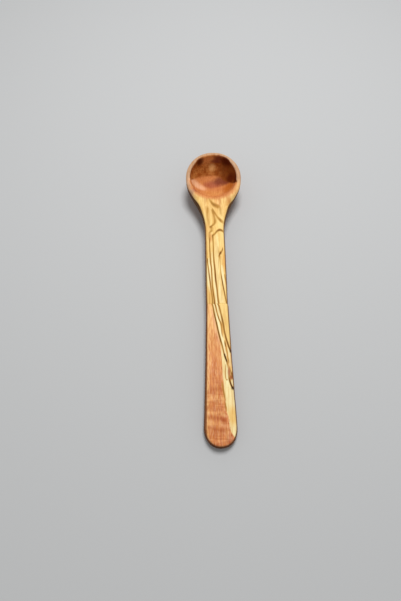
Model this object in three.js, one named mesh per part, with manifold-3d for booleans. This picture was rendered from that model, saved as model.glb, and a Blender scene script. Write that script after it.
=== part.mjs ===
// A carved olive wood ladle: a round bowl on a flared neck, and a flat handle spliced near its middle.
// It lies along Y with the bowl at +Y and rests on Z = 0, with the origin under the middle of its length.
import * as THREE from "three";
import { mergeVertices } from "three/addons/utils/BufferGeometryUtils.js";
import Module from "manifold-3d";

// Driving sizes, in millimetres
const OVERALL_LENGTH = 310;

const BOWL_RADIUS = 30; // outside, at the rim
const RIM_WIDTH = 4.5; // thickness of the wall at the rim
const RIM_TILT = THREE.MathUtils.degToRad(9.5); // the rim leans down towards the handle
const FLOOR_THICKNESS = 6.5; // wood under the hollow
const FOOT_DEPTH = 1; // planed off the round underside, so that the bowl stands
const LIP_RADIUS = 2; // rounding of the inner edge of the rim

const NECK_WIDTH = 20.6;
const NECK_THICKNESS = 13;
const NECK_CLEARANCE = 7.7; // height of the neck's underside above the table
const FLARE_LENGTH = 65; // from the middle of the bowl to the narrowest place, seen from above
const FLARE_CURVE = 66; // radius of the hollow sides where they leave the neck, seen from above
const FLARE_BLEND = 5; // softness of the turn from the hollow sides into the round bowl
const KEEL_LENGTH = 52; // from the middle of the bowl to the end of the rise under the neck
const SHOULDER_BLEND = 1.2; // softness of the bend between the rim and the top of the handle
const RIM_EDGE_DROP = 3.2; // from the rim down to the widest line of the bowl
const HANDLE_EDGE_DROP = 5; // from the flat top of the handle down to the widest line of its sides
const FLANK_LEAN = 1.6; // how far the sides of the handle lean out below the edge of its flat top
const SHOULDER_LEAN = 2.4; // how much further they lean out where the neck widens into the bowl

const SHAFT_END_WIDTH = 21.4;
const SPLICE_STEP = 0.5; // the grip stands proud of the shaft on its right side
const GRIP_LENGTH = 132;
const GRIP_END_WIDTH = 29.5;
const GRIP_END_THICKNESS = 11;
const END_ROUND = 18; // length of the rounded end
const END_UNDERCUT = 5; // how far the underside is rounded up at the tip
const HEEL_DEPTH = 0.5; // planed off under the end of the grip

const DOWEL_DIAMETER = 6;
const DOWEL_LENGTH = 40;
const DOWEL_CHAMFER = 0.8;
const FLUTE_COUNT = 12;
const FLUTE_DEPTH = 0.3;
const DOWEL_CLEARANCE = 0.3; // room for glue all round the dowel and at its ends

// Shape of the sections and outlines, as powers of rounded curves
const RIM_POWER = 4;
const HANDLE_TOP_POWER = 18;
const LEAN_POWER = 1.2;
const HANDLE_UNDERSIDE_POWER = 3;
const BOWL_UNDERSIDE_POWER = 2;
const GRIP_TAPER_POWER = 1.25;
const END_PLAN_POWER = 2.2;

// Fineness of the surfaces
const RING_POINTS = 48;
const FAR_STATIONS = 14;
const FLARE_STATIONS = 16;
const SHAFT_STATIONS = 6;
const GRIP_STATIONS = 12;
const END_STATIONS = 12;
const HOLLOW_SEGMENTS = 64;
const HOLLOW_STEPS = 14;
const LIP_STEPS = 4;
const BORE_SEGMENTS = 24;
const POINTS_PER_FLUTE = 6;
const CUTTER_MARGIN = 2;

const SHOULDER_PEAK = 27 / 4; // brings the highest value of t * t * (1 - t) to one

// Places that follow from the sizes
const TIP_Y = -OVERALL_LENGTH / 2;
const BOWL_Y = OVERALL_LENGTH / 2 - BOWL_RADIUS;
const NECK_Y = BOWL_Y - FLARE_LENGTH;
const KEEL_Y = BOWL_Y - KEEL_LENGTH;
const SPLICE_Y = TIP_Y + GRIP_LENGTH;
const HEEL_Y = TIP_Y + END_ROUND;
const RIM_Z = BOWL_RADIUS - FOOT_DEPTH;

const { lerp, inverseLerp, smoothstep } = THREE.MathUtils;
const wasm = await Module();
wasm.setup();

// The smaller of two values, with a soft bend where they cross
function softMin(a, b, softness) {
  return (a + b - Math.hypot(a - b, softness)) / 2;
}

// Handle seen from the side: straight lines from the neck to the heel, which run on past both
function undersideOfHandle(y) {
  return lerp(NECK_CLEARANCE, -HEEL_DEPTH, inverseLerp(NECK_Y, HEEL_Y, y));
}

function thicknessOfHandle(y) {
  return lerp(NECK_THICKNESS, GRIP_END_THICKNESS, inverseLerp(NECK_Y, HEEL_Y, y));
}

function topOfHandle(y) {
  return undersideOfHandle(y) + thicknessOfHandle(y);
}

function rimPlane(y) {
  return RIM_Z + (y - BOWL_Y) * Math.tan(RIM_TILT);
}

// Top face from the bowl to the tip: the tilted rim runs softly into the handle
function topFace(y) {
  return -softMin(-rimPlane(y), -topOfHandle(y), SHOULDER_BLEND);
}

// Way from the neck's width to the bowl's, 0 to 1: hollow sides that turn softly into the round bowl
function flareShare(y) {
  const growth = BOWL_RADIUS - NECK_WIDTH / 2;
  const hollow = (place) => softMin(growth, (place - NECK_Y) ** 2 / (2 * FLARE_CURVE), FLARE_BLEND);
  return inverseLerp(hollow(NECK_Y), hollow(BOWL_Y), hollow(y));
}

// One station of the loft: a handle section in the middle of the ladle, unless its outline says otherwise
function station(y, outline) {
  const handle = {
    centre: 0,
    edgeDrop: HANDLE_EDGE_DROP,
    topPower: HANDLE_TOP_POWER,
    undersidePower: HANDLE_UNDERSIDE_POWER,
    lean: FLANK_LEAN,
    undercut: 0,
    leanAcross: 1,
    leanAlong: 0,
  };
  const full = { ...handle, ...outline };
  return { ...full, y, edge: full.top - full.edgeDrop };
}

// Far half of the bowl: slices of a ball that leans with the rim, rounded over at the rim's outer edge
function farBowlStation(turn) {
  const out = Math.sin(turn);
  const y = BOWL_Y + BOWL_RADIUS * out;
  const edge = topFace(y) - RIM_EDGE_DROP;
  const rounding = RIM_EDGE_DROP * (1 - out ** RIM_POWER) ** (1 / RIM_POWER);
  return station(y, {
    halfWidth: BOWL_RADIUS * Math.cos(turn),
    top: edge + rounding,
    bottom: edge - (BOWL_RADIUS - RIM_EDGE_DROP) * Math.cos(turn),
    edgeDrop: rounding,
    topPower: RIM_POWER,
    undersidePower: BOWL_UNDERSIDE_POWER,
    lean: 0,
  });
}

// Near half of the bowl: it draws in to the neck above and rises to the neck below
function flareStation(y) {
  const flare = flareShare(y);
  const shoulder = SHOULDER_PEAK * flare ** 2 * (1 - flare);
  const keel = smoothstep(y, KEEL_Y, BOWL_Y);
  return station(y, {
    halfWidth: lerp(NECK_WIDTH / 2, BOWL_RADIUS, flare),
    top: topFace(y),
    bottom: lerp(undersideOfHandle(y), topFace(y) - BOWL_RADIUS, keel),
    edgeDrop: lerp(HANDLE_EDGE_DROP, RIM_EDGE_DROP, flare),
    topPower: lerp(HANDLE_TOP_POWER, RIM_POWER, flare),
    undersidePower: lerp(HANDLE_UNDERSIDE_POWER, BOWL_UNDERSIDE_POWER, keel),
    lean: lerp(FLANK_LEAN, 0, flare) + SHOULDER_LEAN * shoulder,
  });
}

function shaftStation(y) {
  const swell = Math.sin((inverseLerp(NECK_Y, SPLICE_Y, y) * Math.PI) / 2);
  return station(y, {
    halfWidth: lerp(NECK_WIDTH, SHAFT_END_WIDTH, swell) / 2,
    top: topFace(y),
    bottom: undersideOfHandle(y),
  });
}

// The grip is flush with the shaft on the left, and the step on the right dies out towards the heel
function gripStation(y) {
  const along = inverseLerp(SPLICE_Y, HEEL_Y, y);
  const width = lerp(SHAFT_END_WIDTH + SPLICE_STEP, GRIP_END_WIDTH, along ** GRIP_TAPER_POWER);
  return station(y, {
    halfWidth: width / 2,
    top: topFace(y),
    bottom: undersideOfHandle(y),
    centre: lerp(SPLICE_STEP / 2, 0, along),
  });
}

// Rounded end: the flat top and the leaning sides go on round the tip, and the underside rounds up to it
function endStation(along) {
  const y = lerp(HEEL_Y, TIP_Y, along);
  const plan = (1 - along ** END_PLAN_POWER) ** (1 / END_PLAN_POWER);
  return station(y, {
    halfWidth: (GRIP_END_WIDTH / 2) * plan,
    top: topFace(y),
    bottom: undersideOfHandle(y),
    undercut: END_UNDERCUT * along,
    leanAcross: plan,
    leanAlong: along,
  });
}

// Closed outline of a station: a flat top, sides that lean out to the widest line and a rounder underside
function sectionRing(outline) {
  const { y, centre, halfWidth, edge, leanAcross, leanAlong } = outline;
  const above = { reach: outline.top, power: outline.topPower, lean: outline.lean };
  const below = { reach: outline.bottom, power: outline.undersidePower, lean: outline.undercut };
  const halfRing = RING_POINTS / 2;
  const stepTurn = Math.PI / halfRing;
  return Array.from({ length: RING_POINTS }, (_, k) => {
    const { reach, power, lean } = k < halfRing ? above : below;
    const side = Math.sign(Math.cos(k * stepTurn));
    const steps = Math.min(k % halfRing, halfRing - (k % halfRing)); // from the widest line, on either side
    const across = side * Math.cos(steps * stepTurn) ** (2 / power);
    const level = Math.sin(steps * stepTurn) ** (2 / power);
    const inset = lean * level ** LEAN_POWER;
    return new THREE.Vector3(
      centre + (halfWidth - inset * leanAcross) * across,
      y + inset * leanAlong,
      lerp(edge, reach, level),
    );
  });
}

// Skin through a row of stations that runs towards -Y, closed by a fan to a point at each end.
// Without an end point, the last outline has no width, and its two sides meet there.
function loft(stations, startPoint, endPoint) {
  const rings = stations.map(sectionRing);
  const points = [startPoint, ...rings.flat()];
  if (endPoint) points.push(endPoint);
  const last = points.length - 1;
  const at = (row, k) => 1 + row * RING_POINTS + (k % RING_POINTS);
  const faces = [];
  for (let k = 0; k < RING_POINTS; k += 1) {
    faces.push(0, at(0, k + 1), at(0, k));
    for (let row = 0; row + 1 < rings.length; row += 1) {
      faces.push(at(row, k), at(row, k + 1), at(row + 1, k));
      faces.push(at(row, k + 1), at(row + 1, k + 1), at(row + 1, k));
    }
    if (endPoint) faces.push(at(rings.length - 1, k), at(rings.length - 1, k + 1), last);
  }
  const geometry = new THREE.BufferGeometry().setFromPoints(points);
  geometry.setIndex(faces);
  return geometry;
}

function middleOf({ y, edge, centre }) {
  return new THREE.Vector3(centre, y, edge);
}

// Evenly spread values, both ends included
function spread(from, to, count) {
  return Array.from({ length: count + 1 }, (_, k) => lerp(from, to, k / count));
}

// Closed geometry to a solid for cuts, without the flat triangles that a pole leaves behind
function toSolid(geometry) {
  const bare = geometry.clone();
  bare.deleteAttribute("normal");
  bare.deleteAttribute("uv");
  const merged = mergeVertices(bare);
  const triangles = [];
  for (let k = 0; k < merged.index.count; k += 3) {
    const corners = [0, 1, 2].map((c) => merged.index.getX(k + c));
    if (new Set(corners).size === 3) triangles.push(...corners);
  }
  return new wasm.Manifold(
    new wasm.Mesh({
      numProp: 3,
      vertProperties: new Float32Array(merged.getAttribute("position").array),
      triVerts: new Uint32Array(triangles),
    }),
  );
}

function toGeometry(solid) {
  const { vertProperties, triVerts } = solid.getMesh();
  const geometry = new THREE.BufferGeometry();
  geometry.setAttribute("position", new THREE.BufferAttribute(vertProperties, 3));
  geometry.setIndex(new THREE.BufferAttribute(triVerts, 1));
  geometry.computeVertexNormals();
  return geometry;
}

// Hollow of the bowl: a cap of a ball, opened out at the top by the rounding of the lip
function hollowCutter() {
  const openingRadius = BOWL_RADIUS - RIM_WIDTH;
  const depth = RIM_Z - FLOOR_THICKNESS;
  const ballRadius = (openingRadius ** 2 + depth ** 2) / (2 * depth);
  const ballHeight = ballRadius - depth;
  const lipTurn = Math.acos((ballHeight + LIP_RADIUS) / ballRadius);
  const wall = spread(0, lipTurn, HOLLOW_STEPS).map(
    (turn) => new THREE.Vector2(ballRadius * Math.sin(turn), ballHeight - ballRadius * Math.cos(turn)),
  );
  const lipStart = wall.at(-1).x;
  const lip = spread(0, Math.PI / 2, LIP_STEPS).map(
    (turn) =>
      new THREE.Vector2(
        lipStart + LIP_RADIUS * (1 - Math.cos(turn)),
        LIP_RADIUS * (Math.sin(turn) - 1),
      ),
  );
  const clear = LIP_RADIUS + CUTTER_MARGIN;
  const mouth = [new THREE.Vector2(lip.at(-1).x, clear), new THREE.Vector2(0, clear)];
  const cutter = new THREE.LatheGeometry([...wall, ...lip.slice(1), ...mouth], HOLLOW_SEGMENTS);
  cutter.rotateX(Math.PI / 2 + RIM_TILT);
  cutter.translate(0, BOWL_Y, RIM_Z);
  return toSolid(cutter);
}

// Everything below the table, as far as the ladle reaches
function tableCutter() {
  const slab = new THREE.BoxGeometry(4 * BOWL_RADIUS, 2 * OVERALL_LENGTH, 2 * BOWL_RADIUS);
  slab.translate(0, 0, -BOWL_RADIUS);
  return toSolid(slab);
}

// The dowel lies along Y, half in each piece, at mid thickness
function dowelCentre() {
  return new THREE.Vector3(0, SPLICE_Y, (topFace(SPLICE_Y) + undersideOfHandle(SPLICE_Y)) / 2);
}

function dowelBore() {
  const radius = DOWEL_DIAMETER / 2 + DOWEL_CLEARANCE;
  const length = DOWEL_LENGTH + 2 * DOWEL_CLEARANCE;
  const bore = new THREE.CylinderGeometry(radius, radius, length, BORE_SEGMENTS);
  bore.translate(...dowelCentre());
  return toSolid(bore);
}

function carveBowlAndShaft() {
  const stations = [
    ...spread(Math.PI / 2, 0, FAR_STATIONS).slice(1).map(farBowlStation),
    ...spread(BOWL_Y, NECK_Y, FLARE_STATIONS).slice(1).map(flareStation),
    ...spread(NECK_Y, SPLICE_Y, SHAFT_STATIONS).slice(1).map(shaftStation),
  ];
  const farY = BOWL_Y + BOWL_RADIUS;
  const farPoint = new THREE.Vector3(0, farY, topFace(farY) - RIM_EDGE_DROP);
  const blank = toSolid(loft(stations, farPoint, middleOf(stations.at(-1))));
  return toGeometry(blank.subtract(hollowCutter()).subtract(dowelBore()).subtract(tableCutter()));
}

function carveGrip() {
  const stations = [
    ...spread(SPLICE_Y, HEEL_Y, GRIP_STATIONS).map(gripStation),
    ...spread(0, Math.PI / 2, END_STATIONS).slice(1).map((turn) => endStation(Math.sin(turn))),
  ];
  const blank = toSolid(loft(stations, middleOf(stations[0])));
  return toGeometry(blank.subtract(dowelBore()).subtract(tableCutter()));
}

// A fluted bar along Y, longer than the dowel
function flutedBar() {
  const steps = FLUTE_COUNT * POINTS_PER_FLUTE;
  const outline = Array.from({ length: steps }, (_, k) => {
    const turn = (2 * Math.PI * k) / steps;
    const flute = (FLUTE_DEPTH * (1 - Math.cos(FLUTE_COUNT * turn))) / 2;
    const radius = DOWEL_DIAMETER / 2 - flute;
    return new THREE.Vector2(radius * Math.cos(turn), radius * Math.sin(turn));
  });
  const length = DOWEL_LENGTH + 2 * CUTTER_MARGIN;
  const bar = new THREE.ExtrudeGeometry(new THREE.Shape(outline), { depth: length, bevelEnabled: false });
  bar.translate(0, 0, -length / 2);
  bar.rotateX(Math.PI / 2);
  return toSolid(bar);
}

// The dowel is that bar cut to length, with its ends chamfered at 45 degrees
function turnDowel() {
  const endRadius = DOWEL_DIAMETER / 2 - DOWEL_CHAMFER;
  const chamferReach = DOWEL_CHAMFER + CUTTER_MARGIN;
  const halfLength = DOWEL_LENGTH / 2;
  const envelope = new THREE.LatheGeometry(
    [
      new THREE.Vector2(0, -halfLength),
      new THREE.Vector2(endRadius, -halfLength),
      new THREE.Vector2(endRadius + chamferReach, chamferReach - halfLength),
      new THREE.Vector2(endRadius + chamferReach, halfLength - chamferReach),
      new THREE.Vector2(endRadius, halfLength),
      new THREE.Vector2(0, halfLength),
    ],
    BORE_SEGMENTS,
  );
  return toGeometry(flutedBar().intersect(toSolid(envelope)));
}

function addPiece(ladle, name, geometry, finish) {
  const piece = new THREE.Mesh(geometry, new THREE.MeshStandardMaterial(finish));
  piece.name = name;
  ladle.add(piece);
  return piece;
}

const ladle = new THREE.Group();
addPiece(ladle, "bowl_and_shaft", carveBowlAndShaft(), { color: 0xe8bd7a, roughness: 0.45, metalness: 0 });
addPiece(ladle, "grip", carveGrip(), { color: 0xd08a55, roughness: 0.45, metalness: 0 });
const dowelFinish = { color: 0xd9b98a, roughness: 0.7, metalness: 0 };
const dowel = addPiece(ladle, "splice_dowel", turnDowel(), dowelFinish);
dowel.position.copy(dowelCentre());

export default ladle;
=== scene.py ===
"""Carves and finishes a wooden ladle of olive wood, spliced in the handle, on a pale floor.

The solids of its two lengths of wood are their blanks. Each is sanded, gets the slight waves of hand
tools and is trimmed at the splice. The dowel shows its own solid. The woods are procedural.
Scene lengths are metres; lengths inside the woods are millimetres.
"""

import math
from typing import NamedTuple

import bpy
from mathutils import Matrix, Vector


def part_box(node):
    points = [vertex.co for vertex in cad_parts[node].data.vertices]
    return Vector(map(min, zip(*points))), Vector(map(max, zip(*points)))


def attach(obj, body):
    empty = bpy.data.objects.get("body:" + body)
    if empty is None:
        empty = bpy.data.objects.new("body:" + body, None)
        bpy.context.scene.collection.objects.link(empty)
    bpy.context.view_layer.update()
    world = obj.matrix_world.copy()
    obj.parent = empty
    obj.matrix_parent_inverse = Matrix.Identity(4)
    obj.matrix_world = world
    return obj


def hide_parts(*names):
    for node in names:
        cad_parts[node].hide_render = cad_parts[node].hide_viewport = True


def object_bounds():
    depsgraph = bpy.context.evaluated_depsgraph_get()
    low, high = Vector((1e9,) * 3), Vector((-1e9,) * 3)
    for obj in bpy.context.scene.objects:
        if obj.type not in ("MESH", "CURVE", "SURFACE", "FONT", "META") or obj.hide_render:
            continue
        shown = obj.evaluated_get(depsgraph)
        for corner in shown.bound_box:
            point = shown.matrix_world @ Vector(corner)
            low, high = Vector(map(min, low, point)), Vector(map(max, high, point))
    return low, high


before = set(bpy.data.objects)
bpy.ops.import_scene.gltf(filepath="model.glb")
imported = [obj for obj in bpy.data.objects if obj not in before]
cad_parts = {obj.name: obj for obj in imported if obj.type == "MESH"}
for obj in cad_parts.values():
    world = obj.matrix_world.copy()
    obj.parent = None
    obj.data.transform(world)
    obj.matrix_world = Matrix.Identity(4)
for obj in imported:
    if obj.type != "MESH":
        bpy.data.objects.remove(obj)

bl_info = {
    "name": "Wooden Ladle",
    "version": (1, 0, 0),
    "blender": (4, 5, 0),
    "location": "View3D > Sidebar > Ladle",
    "description": "Carves a spliced olive wood ladle from its blanks and lights it",
    "category": "Object",
}

SOLID_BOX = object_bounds()
GRIP_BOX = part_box("grip")
SPLICE_Y = GRIP_BOX[1].y
BODY = "root"

MM = 0.001
MERGE_DISTANCE = 0.001 * MM
SAME_PLACE = 0.01 * MM
NECK_START = 70 * MM
NECK_END = 90 * MM
SANDING_PRESSURE = 0.5
FLOOR_ROUGHNESS = 0.9
FLOOR_SPECULAR = 0.2


def srgb(red, green, blue):
    """A colour read off as 0 to 255, as the linear values that shaders use."""
    def linear(channel):
        share = channel / 255
        return share / 12.92 if share <= 0.04045 else ((share + 0.055) / 1.055) ** 2.4
    return linear(red), linear(green), linear(blue)


def length(name, description, default):
    """A length that a user may change, in metres."""
    return bpy.props.FloatProperty(
        name=name, description=description, default=default, unit="LENGTH", precision=5)


def tint(name, description, default):
    """A colour that a user may change."""
    return bpy.props.FloatVectorProperty(
        name=name, description=description, default=default, subtype="COLOR", size=3, min=0.0, max=1.0)


def angle(name, description, default):
    """An angle that a user may change, given in degrees."""
    return bpy.props.FloatProperty(
        name=name, description=description, default=math.radians(default), subtype="ANGLE")


# Settings

class LadleCarving(bpy.types.PropertyGroup):
    """Sizes of the carver's finish on both lengths of wood"""

    fineness: length("Fineness", "Edge length of the faces of the carved surface", 0.6 * MM)
    sanding: bpy.props.IntProperty(
        name="Sanding", description="Passes that round over the blank's facets", default=14, min=0)
    hold: bpy.props.FloatProperty(
        name="Hold", description="Share of the sanding that the edges of the handle get", default=0.12,
        subtype="FACTOR", min=0.0, max=1.0)
    wave_height: length("Wave height", "Height of the gentle waves that hand tools leave", 0.45 * MM)
    wave_span: length("Wave span", "Distance from one such wave to the next", 26 * MM)
    overhang: length("Overhang", "Length left past the splice until it is trimmed", 8 * MM)
    arris: length("Arris", "Width of the eased edge at each side of the splice", 0.15 * MM)
    crease: angle("Crease", "Faces that meet at more than this angle keep a sharp edge", 40)


class LadleColours(bpy.types.PropertyGroup):
    """Colours of the woods"""

    sapwood: tint("Sapwood", "Pale wood of the shaft and neck", srgb(252, 218, 142))
    honey: tint("Honey", "Deeper bands in the sapwood", srgb(242, 198, 116))
    amber: tint("Amber", "Orange bands at the edges of the shaft", srgb(236, 178, 98))
    cream: tint("Cream", "Palest stripes beside the veins", srgb(255, 246, 196))
    heartwood: tint("Heartwood", "Orange wood of the grip", srgb(234, 158, 94))
    # Light heartwood is also the painted highlight along the grip's left edge and painted light on the
    # flare's right face
    pale_heartwood_and_painted_light: tint("Light heartwood", "Lighter wood at the splice and at edges", srgb(254, 202, 134))
    red_heartwood: tint("Red heartwood", "Redder streaks in the heartwood", srgb(208, 122, 76))
    bowl_heartwood: tint("Bowl heartwood", "Tan wood on the floor of the bowl", srgb(208, 134, 80))
    pink_heartwood: tint("Pink heartwood", "Pale pink band in the bowl", srgb(246, 194, 154))
    rose_heartwood: tint("Rose heartwood", "Rose brown band across the floor of the bowl", srgb(170, 88, 60))
    # Plum, brown, hazel, umber and dark heartwood are partly painted shadow on the far side of the bowl and
    # along its edge; umber is also the painted shade along the grip's left edge
    plum_heartwood_and_painted_shadow: tint("Plum heartwood", "Purple brown shade on the floor of the bowl", srgb(122, 56, 40))
    brown_heartwood_and_painted_shadow: tint("Brown heartwood", "Marbled wood at the far side of the bowl", srgb(152, 80, 26))
    hazel_heartwood_in_painted_shadow: tint("Hazel heartwood", "Lighter marbling at the bowl's far side", srgb(188, 120, 60))
    umber_heartwood_and_painted_shade: tint("Umber heartwood", "Dark wood at the right of the bowl", srgb(124, 62, 16))
    dark_heartwood_in_painted_shadow: tint("Dark heartwood", "Darkest patches in the bowl", srgb(88, 26, 2))
    ochre: tint("Ochre", "Deep orange at the right of the bowl", srgb(192, 110, 44))
    rim: tint("Rim", "Wood along the rim of the bowl", srgb(201, 161, 127))
    # The side colour is partly deeper wood and partly painted shade: flanks and underside are darker than the
    # top
    side: tint("Side", "Deeper wood of the sides and the underside", srgb(178, 104, 44))
    vein: tint("Vein", "Core of the dark veins", srgb(108, 62, 8))
    vein_edge: tint("Vein edge", "Brown that lies along the dark veins", srgb(194, 142, 62))
    bark: tint("Bark", "Bark that grew into the wood at the edge of the grip", srgb(56, 32, 4))
    dowel: tint("Dowel", "Bare wood of the hidden dowel", srgb(222, 184, 132))
    dowel_fleck: tint("Dowel fleck", "Short flecks in the dowel", srgb(170, 122, 76))


class LadleStage(bpy.types.PropertyGroup):
    """The floor, the light and the camera"""

    floor: tint("Floor", "Colour of the floor", srgb(192, 193, 194))
    floor_size: length("Floor size", "Side of the floor", 8.0)
    floor_gap: length("Floor gap", "Room under the ladle for the waves of its foot", 0.2 * MM)
    sky: tint("Sky", "Colour of the soft light from all round", srgb(252, 252, 250))
    sky_strength: bpy.props.FloatProperty(
        name="Sky strength", description="Strength of the soft light from all round", default=0.4)
    backdrop_strength: bpy.props.FloatProperty(
        name="Backdrop strength", description="Strength of the backdrop that the camera sees", default=0.75)
    key_power: bpy.props.FloatProperty(
        name="Key power", description="Power of the soft box", default=10.8, subtype="POWER")
    key_distance: length("Key distance", "Distance of the soft box from the middle of the ladle", 1.2)
    key_size: length("Key size", "Diameter of the soft box", 0.5)
    key_turn: angle("Key turn", "Turn of the soft box to the right of the bowl's direction", 12)
    key_rise: angle("Key rise", "Height of the soft box over the horizon", 70)
    eye: bpy.props.FloatVectorProperty(
        name="Eye", description="Place of the camera", default=(-18.6 * MM, -205.7 * MM, 398.3 * MM),
        subtype="TRANSLATION", unit="LENGTH", size=3)
    pitch: angle("Pitch", "Angle of the camera below the horizon", 64)
    yaw: angle("Yaw", "Turn of the camera to the right", 0.81)
    lens: bpy.props.FloatProperty(
        name="Lens", description="Focal length on a sensor of 36 mm", default=26.36, unit="CAMERA")


# Figure of the wood, in millimetres: x to the right, y towards the bowl and z up

SPLICE = round(SPLICE_Y / MM)


class Vein(NamedTuple):
    """A growth line: its width, its points, each (x, y, strength), and whether it runs across the grain"""

    width: float
    points: tuple
    across: bool = False


class Stain(NamedTuple):
    """A patch inside the wood: its colour, centre, half sizes and strength"""

    colour: str
    centre: tuple
    reach: tuple
    strength: float


class Grain(NamedTuple):
    """Noise in the wood: the span of its lumps, where it starts and is full, and its strengths there"""

    span: tuple
    start: float
    full: float
    most: float = 1.0
    least: float = 0.0
    detail: float = 2.0
    roughness: float = 0.5


class Fade(NamedTuple):
    """A soft change: where it starts and ends, and its values there"""

    start: float
    end: float
    low: float = 0.0
    high: float = 1.0


SHAFT_VEINS = (
    # Left pair, which closes up towards the splice
    Vein(0.75, ((-8.4, 27, 0), (-8.3, 24, 0.85), (-8.2, 21.5, 0.75), (-7.8, 17.7, 0.7), (-6.7, 5.5, 0.9),
                (-5.5, -6.4, 0.75), (-4.5, -16, 0.75), (-4.2, SPLICE, 0.85))),
    Vein(0.8, ((-5.5, 52, 0), (-5.6, 48, 0.8), (-5.9, 42, 0.7), (-5.7, 35, 0.8), (-5.35, 22.2, 0.8),
               (-4.4, 13.2, 0.75), (-4.0, -3, 0.75), (-2.7, -18, 0.85), (-2.4, SPLICE, 1.0))),
    # Faint line in the amber wood before the splice
    Vein(0.6, ((-7.2, -5, 0), (-7.2, -10, 0.3), (-7.2, -16, 0.4), (-7.2, SPLICE, 0.4))),
    # Long vein down the middle
    Vein(0.9, ((-2.4, 54.5, 0), (-2.3, 52, 0.8), (-2.1, 45, 0.65), (-2.1, 30, 0.75), (-1.2, 14.3, 0.85),
               (-0.7, 4.3, 1.0), (0.2, -6.5, 0.8), (1.5, -22.4, 0.8), (1.6, SPLICE, 0.8))),
    # Fine veins from the knot to the right edge
    Vein(0.65, ((4.0, 33, 0), (4.2, 30, 0.6), (4.6, 25, 0.4), (4.4, 17.5, 0.35), (4.7, 10.9, 0.5),
                (5.9, 0, 1.0), (7.3, -10.8, 0.9), (8.6, -20.2, 0.75), (9.1, SPLICE, 0.7))),
    Vein(0.6, ((4.1, 32, 0), (3.8, 29, 0.5), (3.2, 24, 0.35), (2.5, 17, 0.25), (2.4, 11, 0))),
    Vein(0.6, ((8.1, 9, 0), (8.4, 5.5, 0.6), (9.0, 1, 0.55), (9.4, -4, 0))),
    # Knot at the right edge, and the faint line above it
    Vein(2.2, ((2.7, 28.2, 0), (3.7, 30.2, 0.85), (4.5, 31.9, 0.92), (5.7, 32.9, 0.9), (6.3, 34.2, 0.55),
               (6.8, 35.6, 0.85), (7.8, 37.6, 0)), across=True),
    Vein(0.8, ((3.4, 30, 0), (3.2, 33, 0.4), (3.0, 36, 0.35), (3.4, 42, 0))),
    # Arch across the neck
    Vein(1.7, ((-3.6, 51.3, 0), (-2.3, 52.9, 0.85), (-1.0, 53.9, 0.6), (0.7, 56, 0.72), (2.3, 58.0, 0.78),
               (4.9, 59.4, 0.86), (6.9, 58.9, 0.82), (8.8, 57.5, 0.5)), across=True),
    # Fork above the arch
    Vein(2.6, ((-2.8, 85, 0), (-1.7, 83.4, 0.7), (0.4, 80, 0.66), (2.3, 76.4, 0.5), (4.3, 73.2, 0.62),
               (5.8, 71.4, 0.76), (7.8, 69.7, 0.5), (9.4, 68.5, 0.35)), across=True),
    Vein(1.8, ((-1.8, 85, 0), (-1.4, 82.6, 0.7), (-0.8, 80, 0.64), (-0.4, 76.4, 0.46), (0.4, 72.5, 0.5),
               (0.5, 69.7, 0.58), (-0.7, 66.7, 0.6), (-2.7, 64.5, 0.74), (-3.9, 63.3, 0.8), (-3.4, 60.5, 0.5),
               (-3.9, 57.8, 0.6), (-5.5, 55.5, 0.4), (-5.6, 51, 0.4), (-5.6, 46.5, 0))),
    # Soft line along the left of the neck
    Vein(2.0, ((-7.4, 90, 0), (-7.2, 87, 0.35), (-6.9, 83.7, 0.5), (-7.3, 77, 0.42), (-6.9, 71.6, 0.4),
               (-6.4, 67, 0.3), (-6.4, 61, 0))),
    # Broad streak below the bowl, and the soft line that leads down from it
    Vein(2.9, ((-6.6, 97, 0), (-5.0, 95.6, 0.4), (-2.8, 92.6, 0.64), (-1.2, 90.4, 0.74), (1.4, 89.0, 0.7),
               (4.1, 87.6, 0.58), (6.0, 86.5, 0.4), (7.2, 85, 0)), across=True),
    Vein(1.8, ((6.2, 88, 0), (6.4, 84.5, 0.42), (6.7, 82, 0.36), (7.4, 78.5, 0.3), (8.3, 74, 0))),
)

SHAFT_STRIPES = (
    # Pale stripes between the veins
    Vein(1.1, ((-7.2, 25, 0), (-7.9, 13, 1.0), (-8.0, 2, 1.0), (-7.0, -6, 0.6), (-6.2, -13, 0))),
    Vein(0.9, ((-6.9, 27, 0), (-6.3, 19, 1.0), (-5.6, 6.6, 1.0), (-4.9, -3, 0.5), (-4.6, -9, 0))),
    Vein(1.3, ((-1.9, 6, 0), (-1.5, -2, 0.9), (-0.7, -12, 1.0), (-0.4, -20, 0.9), (-0.3, SPLICE, 0.7))),
    Vein(1.0, ((5.8, 19, 0), (6.3, 13, 1.0), (6.9, 3, 0.9), (7.5, -3, 0.5), (8.3, -10, 0))),
    Vein(1.0, ((-3.5, 34, 0), (-3.6, 22, 0.7), (-2.9, 8, 0.7), (-2.3, -2, 0))),
    Vein(2.0, ((1.5, 55, 0), (1.4, 49, 0.4), (1.2, 38, 0.5), (1.0, 26, 0.5), (1.6, 10, 0.5),
               (3.0, -6, 0.6), (4.6, -22, 0.5))),
)

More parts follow.
